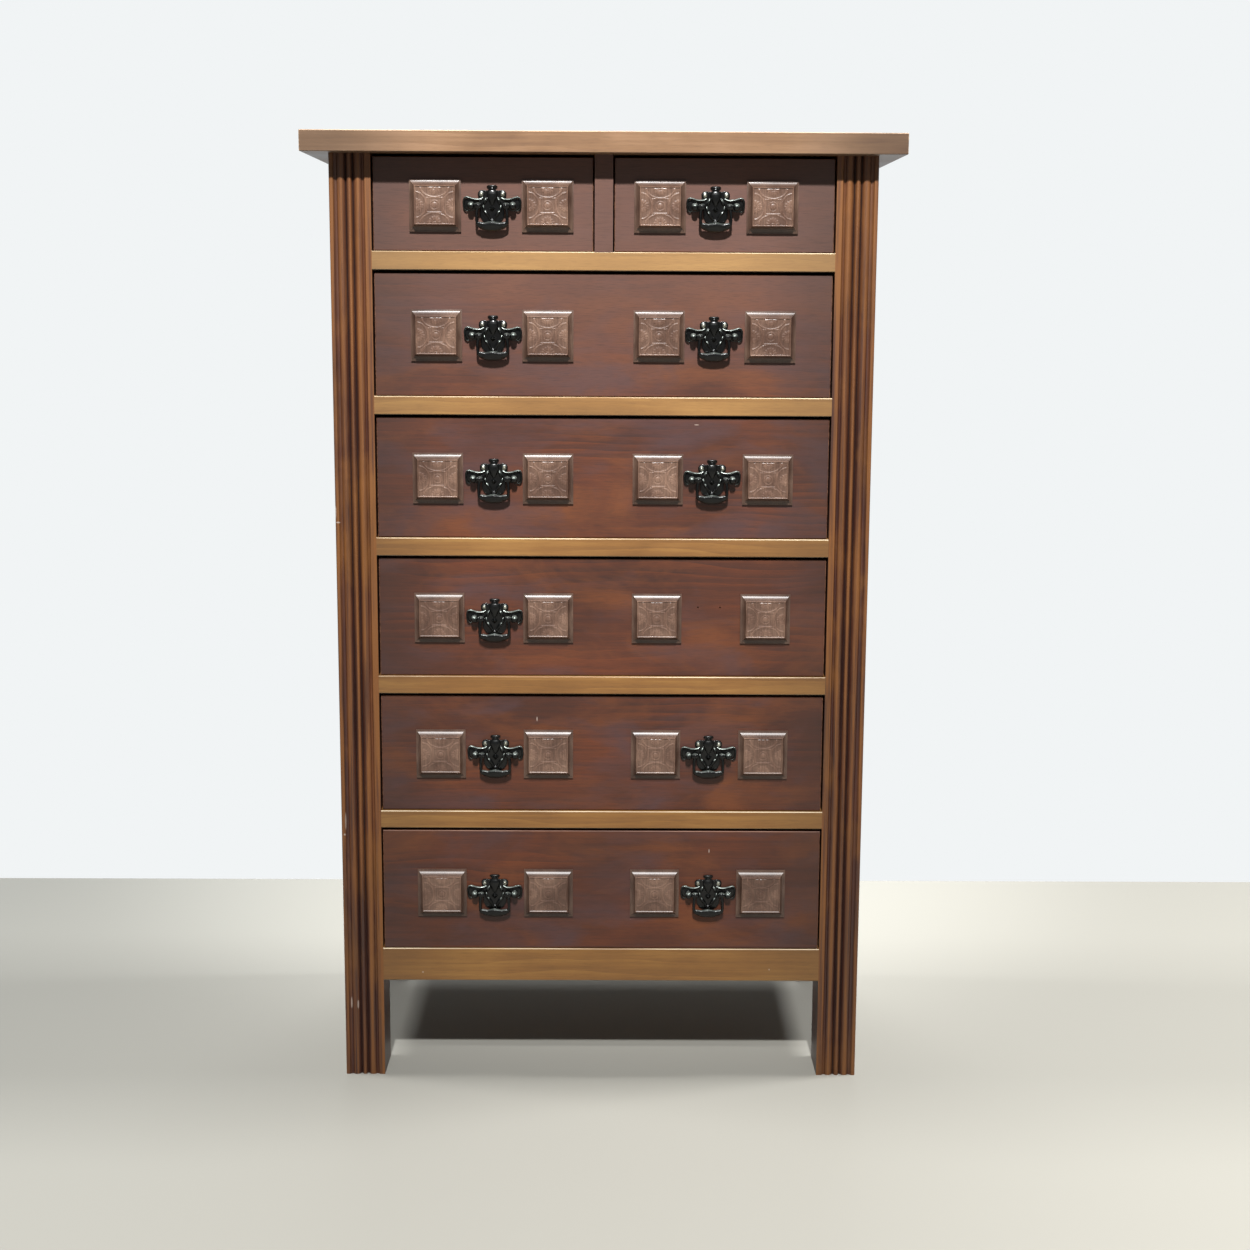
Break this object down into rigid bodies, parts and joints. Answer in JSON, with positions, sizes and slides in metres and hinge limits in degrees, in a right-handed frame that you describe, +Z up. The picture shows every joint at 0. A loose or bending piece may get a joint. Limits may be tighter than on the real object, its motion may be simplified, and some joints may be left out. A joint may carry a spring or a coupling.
{
  "type": "chest of drawers",
  "caption": "Tall wooden chest of drawers with reeded front posts, carved square blocks on the drawer fronts and dark cast bail pulls.",
  "frame": {"origin": "on the floor, under the middle of the top board", "axes": "+X to the right seen from the front, +Y to the back, +Z up; the drawers open towards -Y"},
  "size_m": [0.754, 0.42, 1.243],
  "materials": {
    "honey_wood": "satin varnish",
    "post_wood": "satin varnish, worn",
    "drawer_wood": "satin varnish",
    "block_wood": "satin varnish",
    "inner_wood": "bare",
    "back_board": "bare",
    "dark_iron": "blackened, semi-gloss"
  },
  "bodies": {
    "carcass": {"top_board": "honey_wood", "front_post_left": "post_wood", "front_post_right": "post_wood", "rear_post_left": "post_wood", "rear_post_right": "post_wood", "side_panel_left": "post_wood", "side_panel_right": "post_wood", "back_panel": "back_board", "rear_rails": "inner_wood", "drawer_rails": "honey_wood", "bottom_rail": "honey_wood", "top_divider": "drawer_wood", "side_runners": "inner_wood", "centre_runner": "inner_wood"},
    "drawer_top_left": {"drawer_top_left_front": "drawer_wood", "drawer_top_left_box": "inner_wood", "drawer_top_left_bottom": "back_board", "drawer_top_left_blocks": "block_wood", "drawer_top_left_pull_plates": "dark_iron"},
    "drawer_top_left_bail": {"drawer_top_left_bail": "dark_iron"},
    "drawer_top_right": {"drawer_top_right_front": "drawer_wood", "drawer_top_right_box": "inner_wood", "drawer_top_right_bottom": "back_board", "drawer_top_right_blocks": "block_wood", "drawer_top_right_pull_plates": "dark_iron"},
    "drawer_top_right_bail": {"drawer_top_right_bail": "dark_iron"},
    "drawer_2": {"drawer_2_front": "drawer_wood", "drawer_2_box": "inner_wood", "drawer_2_bottom": "back_board", "drawer_2_blocks": "block_wood", "drawer_2_pull_plates": "dark_iron"},
    "drawer_2_bail_left": {"drawer_2_bail_left": "dark_iron"},
    "drawer_2_bail_right": {"drawer_2_bail_right": "dark_iron"},
    "drawer_3": {"drawer_3_front": "drawer_wood", "drawer_3_box": "inner_wood", "drawer_3_bottom": "back_board", "drawer_3_blocks": "block_wood", "drawer_3_pull_plates": "dark_iron"},
    "drawer_3_bail_left": {"drawer_3_bail_left": "dark_iron"},
    "drawer_3_bail_right": {"drawer_3_bail_right": "dark_iron"},
    "drawer_4": {"drawer_4_front": "drawer_wood", "drawer_4_box": "inner_wood", "drawer_4_bottom": "back_board", "drawer_4_blocks": "block_wood", "drawer_4_pull_plates": "dark_iron"},
    "drawer_4_bail_left": {"drawer_4_bail_left": "dark_iron"},
    "drawer_5": {"drawer_5_front": "drawer_wood", "drawer_5_box": "inner_wood", "drawer_5_bottom": "back_board", "drawer_5_blocks": "block_wood", "drawer_5_pull_plates": "dark_iron"},
    "drawer_5_bail_left": {"drawer_5_bail_left": "dark_iron"},
    "drawer_5_bail_right": {"drawer_5_bail_right": "dark_iron"},
    "drawer_6": {"drawer_6_front": "drawer_wood", "drawer_6_box": "inner_wood", "drawer_6_bottom": "back_board", "drawer_6_blocks": "block_wood", "drawer_6_pull_plates": "dark_iron"},
    "drawer_6_bail_left": {"drawer_6_bail_left": "dark_iron"},
    "drawer_6_bail_right": {"drawer_6_bail_right": "dark_iron"}
  },
  "joints": [
    {"name": "drawer_top_left_slide", "type": "slide", "parent": "carcass", "child": "drawer_top_left", "axis": [0, -1, 0], "range_m": [0, 0.29]},
    {"name": "drawer_top_left_bail_hinge", "type": "hinge", "parent": "drawer_top_left", "child": "drawer_top_left_bail", "pos_m": [-0.1405, -0.1855, 1.1529], "axis": [-1, 0, 0], "range_deg": [0, 90]},
    {"name": "drawer_top_right_slide", "type": "slide", "parent": "carcass", "child": "drawer_top_right", "axis": [0, -1, 0], "range_m": [0, 0.29]},
    {"name": "drawer_top_right_bail_hinge", "type": "hinge", "parent": "drawer_top_right", "child": "drawer_top_right_bail", "pos_m": [0.1405, -0.1855, 1.1529], "axis": [-1, 0, 0], "range_deg": [0, 90]},
    {"name": "drawer_2_slide", "type": "slide", "parent": "carcass", "child": "drawer_2", "axis": [0, -1, 0], "range_m": [0, 0.29]},
    {"name": "drawer_2_bail_left_hinge", "type": "hinge", "parent": "drawer_2", "child": "drawer_2_bail_left", "pos_m": [-0.1405, -0.1855, 0.99145], "axis": [-1, 0, 0], "range_deg": [0, 90]},
    {"name": "drawer_2_bail_right_hinge", "type": "hinge", "parent": "drawer_2", "child": "drawer_2_bail_right", "pos_m": [0.1405, -0.1855, 0.99145], "axis": [-1, 0, 0], "range_deg": [0, 90]},
    {"name": "drawer_3_slide", "type": "slide", "parent": "carcass", "child": "drawer_3", "axis": [0, -1, 0], "range_m": [0, 0.29]},
    {"name": "drawer_3_bail_left_hinge", "type": "hinge", "parent": "drawer_3", "child": "drawer_3_bail_left", "pos_m": [-0.1405, -0.1855, 0.80945], "axis": [-1, 0, 0], "range_deg": [0, 90]},
    {"name": "drawer_3_bail_right_hinge", "type": "hinge", "parent": "drawer_3", "child": "drawer_3_bail_right", "pos_m": [0.1405, -0.1855, 0.80945], "axis": [-1, 0, 0], "range_deg": [0, 90]},
    {"name": "drawer_4_slide", "type": "slide", "parent": "carcass", "child": "drawer_4", "axis": [0, -1, 0], "range_m": [0, 0.29]},
    {"name": "drawer_4_bail_left_hinge", "type": "hinge", "parent": "drawer_4", "child": "drawer_4_bail_left", "pos_m": [-0.1405, -0.1855, 0.62745], "axis": [-1, 0, 0], "range_deg": [0, 90]},
    {"name": "drawer_5_slide", "type": "slide", "parent": "carcass", "child": "drawer_5", "axis": [0, -1, 0], "range_m": [0, 0.29]},
    {"name": "drawer_5_bail_left_hinge", "type": "hinge", "parent": "drawer_5", "child": "drawer_5_bail_left", "pos_m": [-0.1405, -0.1855, 0.44545], "axis": [-1, 0, 0], "range_deg": [0, 90]},
    {"name": "drawer_5_bail_right_hinge", "type": "hinge", "parent": "drawer_5", "child": "drawer_5_bail_right", "pos_m": [0.1405, -0.1855, 0.44545], "axis": [-1, 0, 0], "range_deg": [0, 90]},
    {"name": "drawer_6_slide", "type": "slide", "parent": "carcass", "child": "drawer_6", "axis": [0, -1, 0], "range_m": [0, 0.29]},
    {"name": "drawer_6_bail_left_hinge", "type": "hinge", "parent": "drawer_6", "child": "drawer_6_bail_left", "pos_m": [-0.1423, -0.189, 0.2559], "axis": [-1, 0, 0], "range_deg": [0, 90]},
    {"name": "drawer_6_bail_right_hinge", "type": "hinge", "parent": "drawer_6", "child": "drawer_6_bail_right", "pos_m": [0.1423, -0.189, 0.2559], "axis": [-1, 0, 0], "range_deg": [0, 90]}
  ]
}
